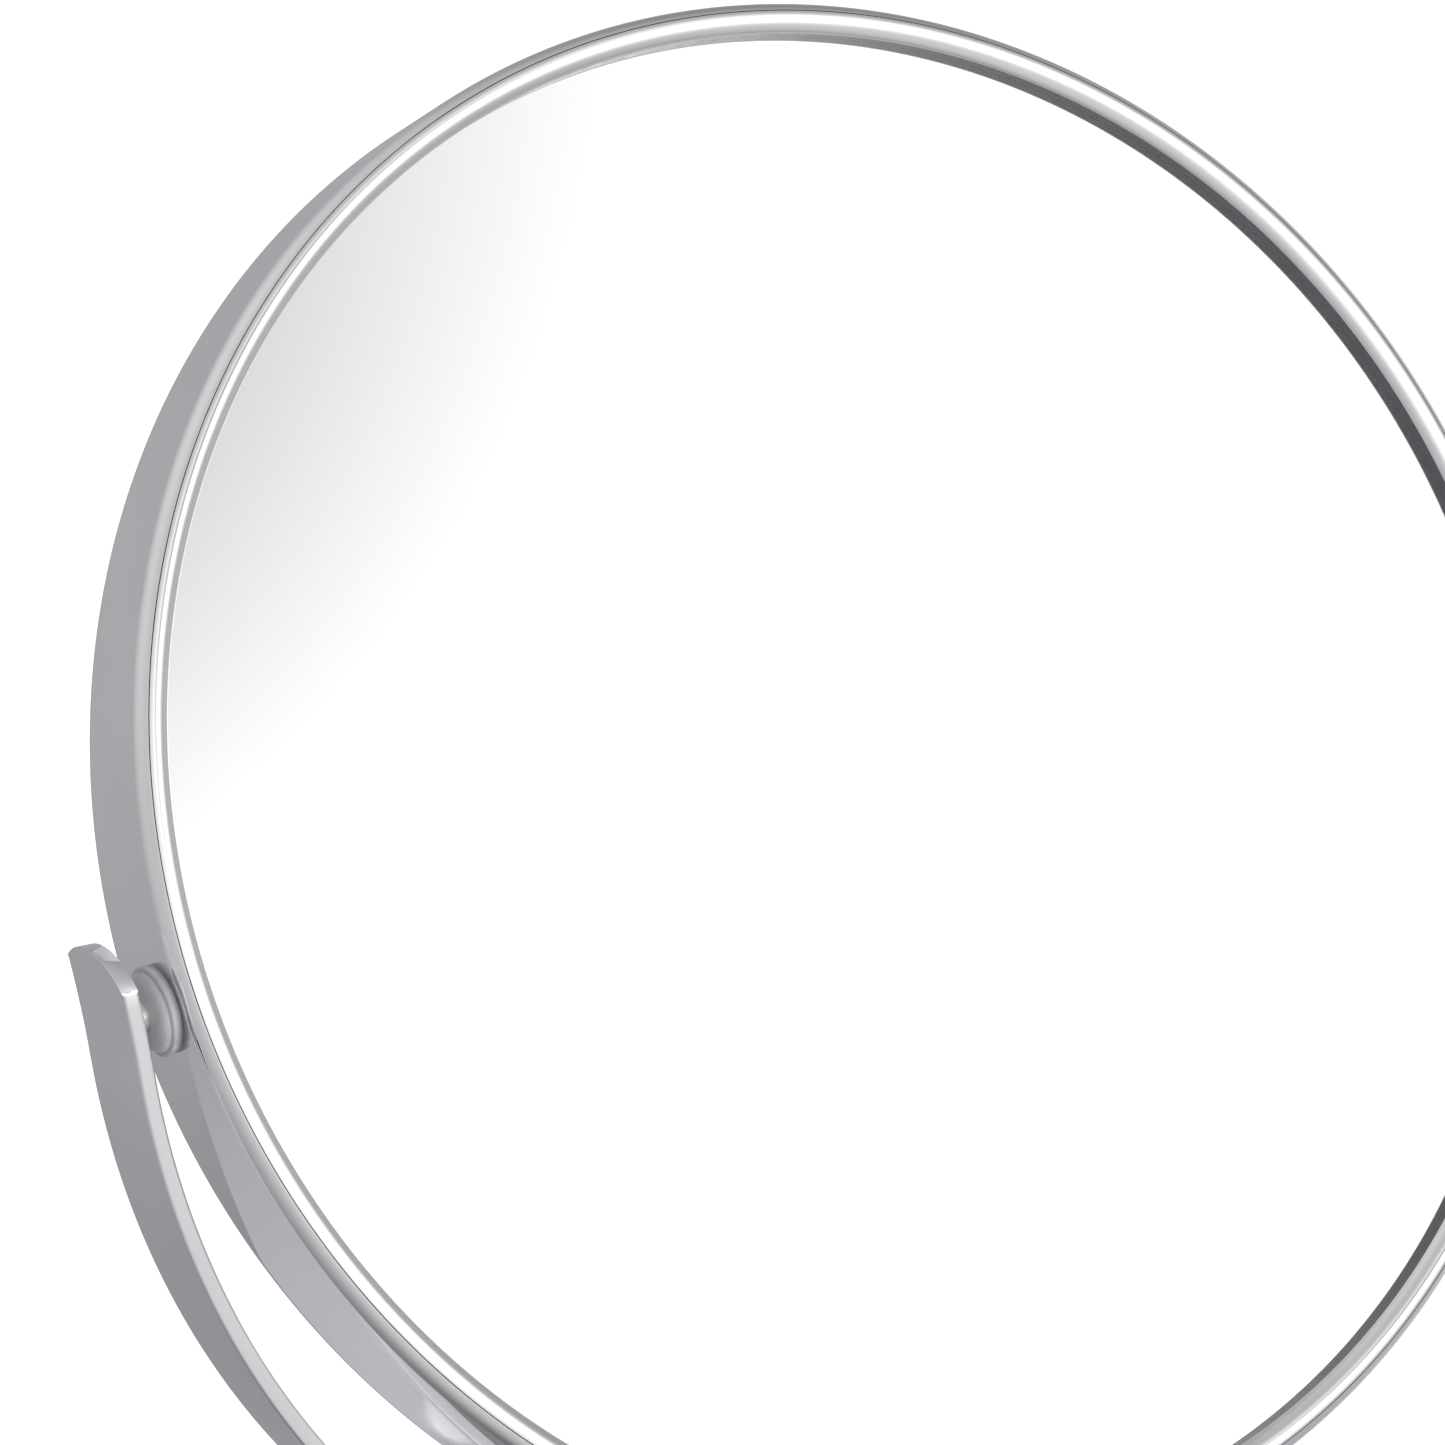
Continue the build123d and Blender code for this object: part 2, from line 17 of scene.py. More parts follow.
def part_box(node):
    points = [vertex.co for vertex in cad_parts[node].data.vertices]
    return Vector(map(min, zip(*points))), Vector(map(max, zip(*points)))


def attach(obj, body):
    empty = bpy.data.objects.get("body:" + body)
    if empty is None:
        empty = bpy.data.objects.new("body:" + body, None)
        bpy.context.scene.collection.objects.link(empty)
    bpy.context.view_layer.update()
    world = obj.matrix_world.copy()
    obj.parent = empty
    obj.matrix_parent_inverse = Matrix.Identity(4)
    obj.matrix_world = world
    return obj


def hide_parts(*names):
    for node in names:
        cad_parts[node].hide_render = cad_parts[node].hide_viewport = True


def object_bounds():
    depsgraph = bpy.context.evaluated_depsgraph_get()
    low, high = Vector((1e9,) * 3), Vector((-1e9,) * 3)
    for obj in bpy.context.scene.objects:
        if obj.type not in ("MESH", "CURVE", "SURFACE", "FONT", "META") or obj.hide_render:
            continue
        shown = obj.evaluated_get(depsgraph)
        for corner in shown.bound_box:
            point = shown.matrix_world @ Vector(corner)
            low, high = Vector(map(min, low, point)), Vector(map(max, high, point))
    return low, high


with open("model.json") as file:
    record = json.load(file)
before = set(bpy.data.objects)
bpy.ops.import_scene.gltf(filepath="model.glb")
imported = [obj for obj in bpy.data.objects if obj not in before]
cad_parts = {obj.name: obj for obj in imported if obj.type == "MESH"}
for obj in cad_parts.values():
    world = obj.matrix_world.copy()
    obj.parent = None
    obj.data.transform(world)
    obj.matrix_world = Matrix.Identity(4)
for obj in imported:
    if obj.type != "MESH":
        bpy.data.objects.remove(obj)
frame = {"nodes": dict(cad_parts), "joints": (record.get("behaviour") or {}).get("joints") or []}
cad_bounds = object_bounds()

MM = 0.001
scene = bpy.context.scene
scene.view_settings.view_transform = "Standard"
joints = {joint["name"]: joint for joint in frame["joints"]}

# %% [markdown]
# Places come from the frame: the tilt axis of the mirror, the stem under the yoke, the wall rod and every
# pivot of the arm are joint positions. The mirror leans back from upright. The pieces on it are modelled
# lying flat, facing up, and stood up by one turn. The rim's middle lies a little behind the tilt axis, and
# the box of the band gives it.

# %% Find the main places
MIRROR_TILT = radians(21.2)
UNITS = 4


def joint_at(name):
    return Vector(joints[name]["pos_m"])


def middle_of(node):
    """The middle of a node's box."""
    low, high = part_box(node)
    return (Vector(low) + Vector(high)) / 2


centre = joint_at("mirror_flip")
rim_middle = middle_of("ring_band")
stem_foot = joint_at("head_swivel")
wall_rod = joint_at("wall_swing")
arm_axis = Vector(joints["arm_fold"]["axis"]).normalized()
upper_pivots = [joint_at("arm_fold")] + [joint_at(f"upper_pivot_{n}") for n in range(1, UNITS)]
upper_pivots.append(joint_at("head_upper_pivot"))
crossings = [joint_at(f"crossing_{n}") for n in range(1, UNITS + 1)]
to_lower = joint_at("wall_lower_pivot") - upper_pivots[0]
lower_pivots = [point + to_lower for point in upper_pivots]
MIRROR_TURN = Matrix.Rotation(pi / 2 - MIRROR_TILT, 3, "X").to_euler()
low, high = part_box("ring_band")
RIM_R = (high[0] - low[0]) / 2 / MM
print("mirror centre", [round(v, 4) for v in centre], "rim radius mm", round(RIM_R, 2))

# %% [markdown]
# ## Camera
#
# The view is a close one, from the left and a little above, through a long lens, so that the rim fills the
# frame and runs off its lower right corner. The camera leans sideways as well, which is why the yoke seems
# to hang at an angle. It is placed from the mirror's centre by two angles and three distances.

# %% Place the camera
AZIMUTH = radians(29.73)
ELEVATION = radians(16.28)
ROLL = radians(-8.37)
AIM = Vector((-15.3, 7.0, 793.8)) * MM
LENS = 174.4
SENSOR = 36.0

right = Vector((cos(AZIMUTH), -sin(AZIMUTH), 0))
look = Vector((sin(AZIMUTH) * cos(ELEVATION), cos(AZIMUTH) * cos(ELEVATION), -sin(ELEVATION)))
above = right.cross(look)
across = right * cos(ROLL) + above * sin(ROLL)
upward = above * cos(ROLL) - right * sin(ROLL)
turn = Matrix((across, upward, -look)).transposed()

camera_data = bpy.data.cameras.new("camera")
camera_data.lens = LENS
camera_data.sensor_width = SENSOR
camera_data.clip_start = 0.01
camera = bpy.data.objects.new("camera", camera_data)
camera.matrix_world = Matrix.Translation(centre + turn @ AIM) @ turn.to_4x4()
scene.collection.objects.link(camera)
scene.camera = camera
print("camera at", [round(v, 3) for v in camera.matrix_world.translation])

# %% [markdown]
# ## Floor and light
#
# Chrome has no colour of its own: it shows the room. So the room matters more than any lamp. It is a world
# of soft patches of light, one for each lamp or reflector of a small studio: a big bright box beside the
# camera, a lower one behind and to the right, a pale ceiling and wall, a table in front. Dark patches
# dim the floor, one corner, and a gap above the bright box that shades the glass at its upper left. The
# real floor is a plain pale sheet which the polished parts do not mirror, so that they keep their greys
# against it.

# %% Describe the room's light
ROOM_BASE = (0.30, 0.303, 0.318)
SOFT_BOXES = {
    # name: (azimuth from +X, elevation, spread, colour, strength)
    "key beside the camera": (300, 14, 16, (1.0, 0.995, 0.985), 1.45),
    "window, left of the camera": (261, 17, 16, (1.0, 0.995, 0.985), 0.55),
    "low box behind, right": (22, -18, 22, (0.97, 0.98, 1.03), 0.42),
    "pale ceiling": (140, 65, 40, (1.0, 0.99, 0.97), 0.36),
    "pale wall, far left": (165, 10, 40, (1.0, 0.995, 0.98), 0.07),
    "table in front": (272, -38, 30, (1.0, 0.98, 0.935), 0.32),
    "window, near left": (225, 0, 22, (1.0, 1.0, 1.0), 0.1),
}
DARK_PATCHES = {
    # name: (azimuth, elevation, spread, depth)
    "dim floor under it": (130, -74, 28, 0.6),
    "dim corner, right": (40, 42, 22, 0.45),
    "gap above the key": (295, 28, 5.5, 0.7),
}


def direction(azimuth, elevation):
    """A unit vector from two angles in degrees."""
    a, e = radians(azimuth), radians(elevation)
    return Vector((cos(a) * cos(e), sin(a) * cos(e), sin(e)))


# %% Build the world from soft patches
def new_node(tree, kind, **settings):
    """Adds a node to a tree and sets its properties."""
    node = tree.nodes.new(kind)
    for key, value in settings.items():
        setattr(node, key, value)
    return node


world = bpy.data.worlds.new("studio")
world.use_nodes = True
scene.world = world
room = world.node_tree
room.nodes.clear()
ray = new_node(room, "ShaderNodeTexCoord")


def soft_patch(towards, spread):
    """The output of a smooth bump, 1 at its middle and about 0.6 at one spread from it."""
    dot = new_node(room, "ShaderNodeVectorMath", operation="DOT_PRODUCT")
    dot.inputs[1].default_value = towards
    room.links.new(ray.outputs["Generated"], dot.inputs[0])
    less = new_node(room, "ShaderNodeMath", operation="SUBTRACT")
    less.inputs[1].default_value = 1.0
    room.links.new(dot.outputs["Value"], less.inputs[0])
    scaled = new_node(room, "ShaderNodeMath", operation="MULTIPLY")
    scaled.inputs[1].default_value = 1.0 / radians(spread) ** 2
    room.links.new(less.outputs[0], scaled.inputs[0])
    bump = new_node(room, "ShaderNodeMath", operation="EXPONENT")
    room.links.new(scaled.outputs[0], bump.inputs[0])
    return bump.outputs[0]


def layer(colour, blend, other, patch):
    """Lays one more colour over the room's, as much as the patch says."""
    mix = new_node(room, "ShaderNodeMix", data_type="RGBA", blend_type=blend)
    amount, under, over = mix.inputs[0], mix.inputs[6], mix.inputs[7]
    over.default_value = (*other, 1)
    room.links.new(patch, amount)
    room.links.new(colour, under)
    return mix.outputs[2]


base = new_node(room, "ShaderNodeRGB")
base.outputs[0].default_value = (*ROOM_BASE, 1)
colour = base.outputs[0]
for azimuth, elevation, spread, tint, strength in SOFT_BOXES.values():
    light = [strength * channel for channel in tint]
    colour = layer(colour, "ADD", light, soft_patch(direction(azimuth, elevation), spread))
for azimuth, elevation, spread, depth in DARK_PATCHES.values():
    shade = [1 - depth] * 3
    colour = layer(colour, "MULTIPLY", shade, soft_patch(direction(azimuth, elevation), spread))

# %% Show a plain backdrop to the camera alone
BACKDROP = 1.0
plain = new_node(room, "ShaderNodeBackground")
plain.inputs["Color"].default_value = (BACKDROP, BACKDROP, BACKDROP, 1)
lit = new_node(room, "ShaderNodeBackground")
room.links.new(colour, lit.inputs["Color"])
seen = new_node(room, "ShaderNodeLightPath")
choose = new_node(room, "ShaderNodeMixShader")
room.links.new(seen.outputs["Is Camera Ray"], choose.inputs[0])
room.links.new(lit.outputs[0], choose.inputs[1])
room.links.new(plain.outputs[0], choose.inputs[2])
output = new_node(room, "ShaderNodeOutputWorld")
room.links.new(choose.outputs[0], output.inputs["Surface"])
print("soft boxes", len(SOFT_BOXES), "dark patches", len(DARK_PATCHES))

# %% Lay the floor
FLOOR_HALF = 40.0
FLOOR_GAP = 0.06
FLOOR_GLOW = 0.68
floor_low = cad_bounds[0][2] - FLOOR_GAP
corners = [(-1, -1), (1, -1), (1, 1), (-1, 1)]
floor_mesh = bpy.data.meshes.new("floor")
floor_mesh.from_pydata([(x * FLOOR_HALF, y * FLOOR_HALF, floor_low) for x, y in corners], [], [(0, 1, 2, 3)])
floor = bpy.data.objects.new("floor", floor_mesh)
scene.collection.objects.link(floor)
floor.visible_glossy = False
sheet = bpy.data.materials.new("pale floor")
sheet.use_nodes = True
paper = sheet.node_tree.nodes["Principled BSDF"]
paper.inputs["Base Color"].default_value = (0.9, 0.9, 0.9, 1)
paper.inputs["Roughness"].default_value = 0.9
paper.inputs["Specular IOR Level"].default_value = 0.0
paper.inputs["Emission Color"].default_value = (1, 1, 1, 1)
paper.inputs["Emission Strength"].default_value = FLOOR_GLOW
floor_mesh.materials.append(sheet)
print("floor at", round(floor_low, 3))

# %% [markdown]
# ## Finishes
#
# Bathroom fittings are brass or steel with a bright chrome skin. Real chrome is never a perfect mirror: it
# has a faint haze, a slight ripple left by the polishing wheel, and a few hairlines. Each finish below is a
# metallic shader whose roughness comes from a soft noise and whose bump is a ripple too shallow to see as
# bumps, but enough to make reflections live.

# %% A recipe for every finish
def finish_of(name, colour, roughness, metallic=0.0):
    """A material and its Principled shader, with its constants set on the shader's own sockets."""
    material = bpy.data.materials.new(name)
    material.use_nodes = True
    shader = material.node_tree.nodes["Principled BSDF"]
    shader.inputs["Base Color"].default_value = (*colour, 1)
    shader.inputs["Roughness"].default_value = roughness
    shader.inputs["Metallic"].default_value = metallic
    return material, shader


def clouds(material, scale, detail=3.0):
    """A noise texture on the piece's own coordinates."""
    tree = material.node_tree
    where = tree.nodes.get("Texture Coordinate") or new_node(tree, "ShaderNodeTexCoord")
    noise = new_node(tree, "ShaderNodeTexNoise")
    noise.inputs["Scale"].default_value = scale
    noise.inputs["Detail"].default_value = detail
    tree.links.new(where.outputs["Object"], noise.inputs["Vector"])
    return noise


def vary_roughness(material, noise, smoothest, roughest):
    """Lets the noise drive the roughness between two values."""
    tree = material.node_tree
    spread = new_node(tree, "ShaderNodeMapRange")
    for socket, value in (("From Min", 0.3), ("From Max", 0.7), ("To Min", smoothest), ("To Max", roughest)):
        spread.inputs[socket].default_value = value
    tree.links.new(noise.outputs["Fac"], spread.inputs["Value"])
    tree.links.new(spread.outputs["Result"], tree.nodes["Principled BSDF"].inputs["Roughness"])


def vary_colour(material, noise, dark, light):
    """Lets the base colour wander a little between two near colours."""
    tree = material.node_tree
    ramp = new_node(tree, "ShaderNodeValToRGB")
    for element, position, colour in zip(ramp.color_ramp.elements, (0.3, 0.7), (dark, light)):
        element.position = position
        element.color = (*colour, 1)
    tree.links.new(noise.outputs["Fac"], ramp.inputs["Fac"])
    tree.links.new(ramp.outputs["Color"], tree.nodes["Principled BSDF"].inputs["Base Color"])


def ripple(material, noise, strength, depth):
    """Turns the noise into a very shallow bump."""
    tree = material.node_tree
    bump = new_node(tree, "ShaderNodeBump")
    bump.inputs["Strength"].default_value = strength
    bump.inputs["Distance"].default_value = depth
    tree.links.new(noise.outputs["Fac"], bump.inputs["Height"])
    tree.links.new(bump.outputs["Normal"], tree.nodes["Principled BSDF"].inputs["Normal"])


# %% Mix the metals
HAZE_SCALE = 60.0
WHEEL_SCALE = 25.0
WHEEL_DEPTH = 0.2 * MM


def polished(name, dark, light, haze, waviness):
    """Polished metal with a haze between the two roughnesses given and a ripple of that strength."""
    material, _ = finish_of(name, light, haze[0], metallic=1.0)
    film = clouds(material, HAZE_SCALE)
    vary_roughness(material, film, *haze)
    vary_colour(material, film, dark, light)
    ripple(material, clouds(material, WHEEL_SCALE), waviness, WHEEL_DEPTH)
    return material


chrome = polished("bright chrome", (0.93, 0.93, 0.94), (0.97, 0.97, 0.98), (0.02, 0.05), 0.05)
strap_chrome = polished("strap chrome", (0.92, 0.93, 0.95), (0.96, 0.97, 0.98), (0.03, 0.07), 0.08)
plate_chrome = polished("pressed chrome", (0.88, 0.88, 0.9), (0.94, 0.94, 0.95), (0.05, 0.11), 0.12)
rod_chrome = polished("rod chrome", (0.92, 0.92, 0.93), (0.97, 0.97, 0.97), (0.02, 0.06), 0.04)
pin_steel = polished("pin steel", (0.94, 0.94, 0.95), (0.98, 0.98, 0.98), (0.28, 0.36), 0.05)
spring_steel = polished("spring steel", (0.42, 0.42, 0.44), (0.52, 0.52, 0.54), (0.22, 0.34), 0.3)
brass = polished("turned brass", (0.68, 0.52, 0.26), (0.78, 0.62, 0.34), (0.18, 0.3), 0.2)

# %% Mix the plastics, the rubber, the card and the foam
GRAIN_DEPTH = 0.05 * MM


def moulded(name, dark, light, roughness, grain_scale, grain):
    """Moulded plastic or rubber: a fine grain, a soft sheen and a colour that wanders slightly."""
    material, _ = finish_of(name, light, roughness[0])
    speckle = clouds(material, grain_scale, detail=6.0)
    vary_roughness(material, speckle, *roughness)
    vary_colour(material, speckle, dark, light)
    ripple(material, speckle, grain, GRAIN_DEPTH)
    return material


nylon = moulded("white nylon", (0.78, 0.78, 0.75), (0.86, 0.86, 0.84), (0.4, 0.5), 900.0, 0.3)
grey_acetal = moulded("grey acetal", (0.52, 0.52, 0.535), (0.6, 0.6, 0.615), (0.18, 0.26), 500.0, 0.05)
dark_seal = moulded("dark seal", (0.065, 0.063, 0.073), (0.09, 0.087, 0.1), (0.2, 0.3), 500.0, 0.05)
black_plastic = moulded("black plastic", (0.012, 0.012, 0.013), (0.02, 0.02, 0.022), (0.4, 0.55), 600.0, 0.4)
card = moulded("pressed card", (0.2, 0.13, 0.08), (0.3, 0.21, 0.13), (0.8, 0.95), 300.0, 0.6)
foam = moulded("packing foam", (0.04, 0.04, 0.042), (0.07, 0.07, 0.072), (0.85, 0.95), 1500.0, 1.0)

# %% [markdown]
# A looking glass is clear glass with silver behind it. The silver does all the work, so one metallic
# surface with almost no roughness stands for both. A trace of green-grey in the colour is the glass, and
# the roughness noise is the film of breath and dust that never quite wipes off.

# %% Silvered glass
FILM_SCALE = 9.0
silvered, _ = finish_of("silvered glass", (0.965, 0.972, 0.97), 0.0, metallic=1.0)
film = clouds(silvered, FILM_SCALE, detail=5.0)
vary_roughness(silvered, film, 0.0, 0.012)
vary_colour(silvered, film, (0.955, 0.962, 0.96), (0.97, 0.976, 0.975))
print("finishes", len(bpy.data.materials))

# %% [markdown]
# ## One tree for every turned piece
#
# Rods, washers, collars, bezels and the glasses are all bodies of revolution. A lathe makes them in metal,
# and one Geometry Nodes tree makes them here: it sweeps an outline round a circle. The outline is a chain
# of points, given as radius and height. The tree then sets the result in place, welds the points that meet
# on the axis and gives it its finish. Smooth normals are weighted by area afterwards, so that a flat face
# stays flat right up to a rounded edge, which polished metal shows at once.

# %% Build the lathe tree
def geometry_tree(name, sockets):
    """A Geometry Nodes tree with a geometry input and output and the named inputs, and its two end nodes."""
    tree = bpy.data.node_groups.new(name, "GeometryNodeTree")
    tree.interface.new_socket("Geometry", in_out="INPUT", socket_type="NodeSocketGeometry")
    for label, kind in sockets.items():
        tree.interface.new_socket(label, in_out="INPUT", socket_type=f"NodeSocket{kind}")
    tree.interface.new_socket("Geometry", in_out="OUTPUT", socket_type="NodeSocketGeometry")
    return tree, new_node(tree, "NodeGroupInput"), new_node(tree, "NodeGroupOutput")


def link_all(tree, *links):
    """Makes links, each given as (from node, its output, to node, its input)."""
    for source, out, target, into in links:
        tree.links.new(source.outputs[out], target.inputs[into])


def end_tree(tree, made, given, result):
    """Ends a tree as every tree here ends: instances made real, and the finish set."""
    realize = new_node(tree, "GeometryNodeRealizeInstances")
    finish = new_node(tree, "GeometryNodeSetMaterial")
    link_all(tree, (made, 0, realize, "Geometry"), (realize, "Geometry", finish, "Geometry"),
             (given, "Finish", finish, "Material"), (finish, "Geometry", result, "Geometry"))


WELD = 1e-6
lathe, given, result = geometry_tree("lathe", {
    "Guide Radius": "Float", "Segments": "Int", "Place": "Vector", "Turn": "Rotation", "Finish": "Material"})
outline = new_node(lathe, "GeometryNodeMeshToCurve")
guide = new_node(lathe, "GeometryNodeCurvePrimitiveCircle")
sweep = new_node(lathe, "GeometryNodeCurveToMesh")
weld = new_node(lathe, "GeometryNodeMergeByDistance")
weld.inputs["Distance"].default_value = WELD
set_down = new_node(lathe, "GeometryNodeTransform")
link_all(lathe,
         (given, "Geometry", outline, "Mesh"), (outline, "Curve", sweep, "Profile Curve"),
         (given, "Guide Radius", guide, "Radius"), (given, "Segments", guide, "Resolution"),
         (guide, "Curve", sweep, "Curve"), (sweep, "Mesh", weld, "Geometry"),
         (weld, "Geometry", set_down, "Geometry"), (given, "Place", set_down, "Translation"),
         (given, "Turn", set_down, "Rotation"))
end_tree(lathe, set_down, given, result)


# %% Turn a tree's or a modifier's result into a plain mesh
def bake(obj, modifier):
    """Keeps what a modifier makes as the object's own mesh, and removes the modifier."""
    graph = bpy.context.evaluated_depsgraph_get()
    mesh = bpy.data.meshes.new_from_object(obj.evaluated_get(graph))
    obj.modifiers.remove(modifier)
    obj.data = mesh


def apply_tree(obj, tree, values):
    """Runs a tree on an object with the values given to its named inputs."""
    modifier = obj.modifiers.new(tree.name, "NODES")
    modifier.node_group = tree
    for item in tree.interface.items_tree:
        if item.in_out == "INPUT" and item.name in values:
            modifier[item.identifier] = values[item.name]
    bake(obj, modifier)


def smooth(obj, crease=38):
    """Smooth shading except across sharp corners, with faces pointing out and flat faces kept flat."""
    shape = bmesh.new()
    shape.from_mesh(obj.data)
    bmesh.ops.recalc_face_normals(shape, faces=shape.faces)
    shape.to_mesh(obj.data)
    shape.free()
    obj.data.shade_smooth()
    obj.data.set_sharp_from_angle(angle=radians(crease))
    weighted = obj.modifiers.new("weighted normals", "WEIGHTED_NORMAL")
    weighted.keep_sharp = True
    bake(obj, weighted)
    return obj


# %% Helpers that make, place and settle a piece
GUIDE_RADIUS = 10 * MM


def new_object(name, points, edges=(), faces=()):
    mesh = bpy.data.meshes.new(name)
    mesh.from_pydata(points, edges, faces)
    obj = bpy.data.objects.new(name, mesh)
    scene.collection.objects.link(obj)
    return obj


def settle(obj, body, slot, *nodes):
    """Hangs a finished piece on the body it rides on and hides the CAD nodes that it stands for; slot is not
    used.
    """
    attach(obj, body)
    if nodes:
        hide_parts(*nodes)
    return obj


def turned(name, outline_mm, place, turn, material, segments=96):
    """A body of revolution from a closed outline of (radius, height) in millimetres."""
    points = [(r * MM - GUIDE_RADIUS, -z * MM, 0) for r, z in outline_mm]
    edges = [(i, (i + 1) % len(points)) for i in range(len(points))]
    obj = new_object(name, points, edges)
    apply_tree(obj, lathe, {"Guide Radius": GUIDE_RADIUS, "Segments": segments, "Place": place,
                            "Turn": turn, "Finish": material})
    return smooth(obj)


def joined(name, pieces):
    """One object from several, which are removed."""
    shape = bmesh.new()
    for piece in pieces:
        shape.from_mesh(piece.data)
    mesh = bpy.data.meshes.new(name)
    for material in pieces[0].data.materials:
        mesh.materials.append(material)
    shape.to_mesh(mesh)
    shape.free()
    for piece in pieces:
        bpy.data.objects.remove(piece)
    obj = bpy.data.objects.new(name, mesh)
    scene.collection.objects.link(obj)
    return smooth(obj)


def facing(axis):
    """The turn that points a piece made about Z along an axis."""
    return Vector((0, 0, 1)).rotation_difference(Vector(axis)).to_euler()


def arc(centre_r, centre_z, radius, start, end, steps=8):
    """Points of an arc in an outline, between two angles in degrees, 0 pointing outwards and 90 up."""
    angles = [radians(start + (end - start) * i / steps) for i in range(steps + 1)]
    return [(centre_r + radius * cos(a), centre_z + radius * sin(a)) for a in angles]


UPRIGHT = facing((0, 0, 1))

# %% [markdown]
# ## The rim
#
# The rim is a steel band, flat round the middle, with both its edges rolled in. A bezel carries on round
# from each edge, so that the two look like one smooth roll with a hairline seam part of the way over it.
# Inside each bezel a dark seal keeps water off the silver. It is taller than in the CAD model, and fills
# the wall between the glass and the lip. The band is swept whole, without its two pivot holes: the pins
# run through it, and the flanges of the sleeves cover the places. These are the pieces nearest the
# camera, so their sweep has many more segments than any other.

# %% Sweep the band, the bezels and the seals
RIM_SEGMENTS = 384
ROLL_R = 1.95
ROLL_Z = 6.2
ROLL_C = RIM_R - ROLL_R
SEAM_ANGLE = 65.0
SEAM_GAP = 3.2
LIP_ANGLE = 153.0
BAND_INSIDE = RIM_R - 1.25
SKIRT_R = 88.25
SKIRT_IN = 87.75
SKIRT_LOW = 3.7
SEAL_R = 86.36
SEAL_TOP = 6.93
SILVER_LEVEL = 5.5

edge = [(RIM_R, ROLL_Z - 0.1)] + arc(ROLL_C, ROLL_Z, ROLL_R, 0, SEAM_ANGLE, 14)
edge += arc(ROLL_C, ROLL_Z, RIM_R - BAND_INSIDE, SEAM_ANGLE, SEAM_ANGLE, 1)[:1] + [(BAND_INSIDE, ROLL_Z)]
band_outline = edge + [(r, -z) for r, z in reversed(edge)]
band = turned("rim_band", band_outline, rim_middle, MIRROR_TURN, chrome, RIM_SEGMENTS)
settle(band, "mirror", "rim", "ring_band")

bezel_outline = arc(ROLL_C, ROLL_Z, ROLL_R, SEAM_ANGLE + SEAM_GAP, LIP_ANGLE, 24) + [
    (SEAL_R + 0.02, SEAL_TOP + 0.02), (SKIRT_IN, SEAL_TOP + 0.02), (SKIRT_IN, SKIRT_LOW), (SKIRT_R, SKIRT_LOW),
    (SKIRT_R, ROLL_Z + 0.5)]
seal_outline = [(SEAL_R, SILVER_LEVEL + 0.01), (SKIRT_IN - 0.1, SILVER_LEVEL + 0.01),
                (SKIRT_IN - 0.1, SEAL_TOP), (SEAL_R, SEAL_TOP)]
for side, up in (("front", 1), ("rear", -1)):
    bezel = turned(f"{side}_bezel_roll", [(r, up * z) for r, z in bezel_outline],
                   rim_middle, MIRROR_TURN, chrome, RIM_SEGMENTS)
    settle(bezel, "mirror", "bezel", f"{side}_bezel")
    seal = turned(f"{side}_seal", [(r, up * z) for r, z in seal_outline],
                  rim_middle, MIRROR_TURN, dark_seal, RIM_SEGMENTS)
    settle(seal, "mirror", "gasket", f"{side}_gasket")
print("rim faces", len(band.data.polygons), "bezel faces", len(bezel.data.polygons))

# %% [markdown]
# ## The two glasses
#
# The front glass is flat. The rear one is ground hollow, which magnifies. Each is a disc a little thinner
# than in the CAD model, with its polished face 0.3 mm further out, so that the dark wall inside the
# bezel's lip is not too deep.

# %% Turn the glasses
GLASS_R = 87.6
GLASS_BACK = 3.9
HOLLOW_R = 900.0
GLASS_RINGS = 24


def hollow(r):
    """How far the hollow glass has sunk at radius r, from its edge."""
    return sqrt(HOLLOW_R**2 - r**2) - sqrt(HOLLOW_R**2 - GLASS_R**2)


rings = [GLASS_R * (1 - i / GLASS_RINGS) for i in range(GLASS_RINGS + 1)]
flat_outline = [(r, SILVER_LEVEL) for r in rings] + [(0, GLASS_BACK), (GLASS_R, GLASS_BACK)]
front = turned("plain_glass", flat_outline, rim_middle, MIRROR_TURN, silvered, 192)
settle(front, "mirror", "glass", "front_glass")
hollow_outline = [(r, hollow(r) - SILVER_LEVEL) for r in rings]
hollow_outline += [(r, hollow(r) - GLASS_BACK) for r in reversed(rings)]
rear = turned("magnifying_glass", hollow_outline, rim_middle, MIRROR_TURN, silvered, 192)
settle(rear, "mirror", "glass", "rear_glass")
print("hollow of the magnifying glass mm", round(hollow(0), 2))

# %% [markdown]
# ## The yoke
#
# The yoke is one flat strip of steel bent into a U and plated. Its long edges are rounded off, its two ends
# flare outwards a little, and each end is cut round and slightly askew. It is built as rows of a
# cross-section with rounded corners, carried along the bend. Over the round of an end the rows get
# narrower, and the corner there is left nearly sharp, as the blanking tool leaves it.

# %% Find the line that the strip follows
low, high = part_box("yoke")
STRAP_T = 2.0
STRAP_HALF = (high[1] - low[1]) / 2 / MM
YOKE_DROP = 4.75
YOKE_R = (centre.z - low[2]) / MM - YOKE_DROP
MIDDLE_R = YOKE_R - STRAP_T / 2
FLARE_R = 135.0
FLARE_MIDDLE = FLARE_R + STRAP_T / 2
END_R = 7.72
END_Y = 0.87
END_Z = 1.13
EDGE_R = 0.42
END_EDGE_R = 0.06
BEND_STEPS = 260
END_STEPS = 34


def end_heights():
    """Heights down one end: close together over the round, then even down to where the bend begins."""
    widest = asin((STRAP_HALF + END_Y) / END_R)
    return [END_Z + END_R * cos(widest * i / END_STEPS) for i in range(END_STEPS + 1)] + [3.0, 1.0, -1.0, -3.0]


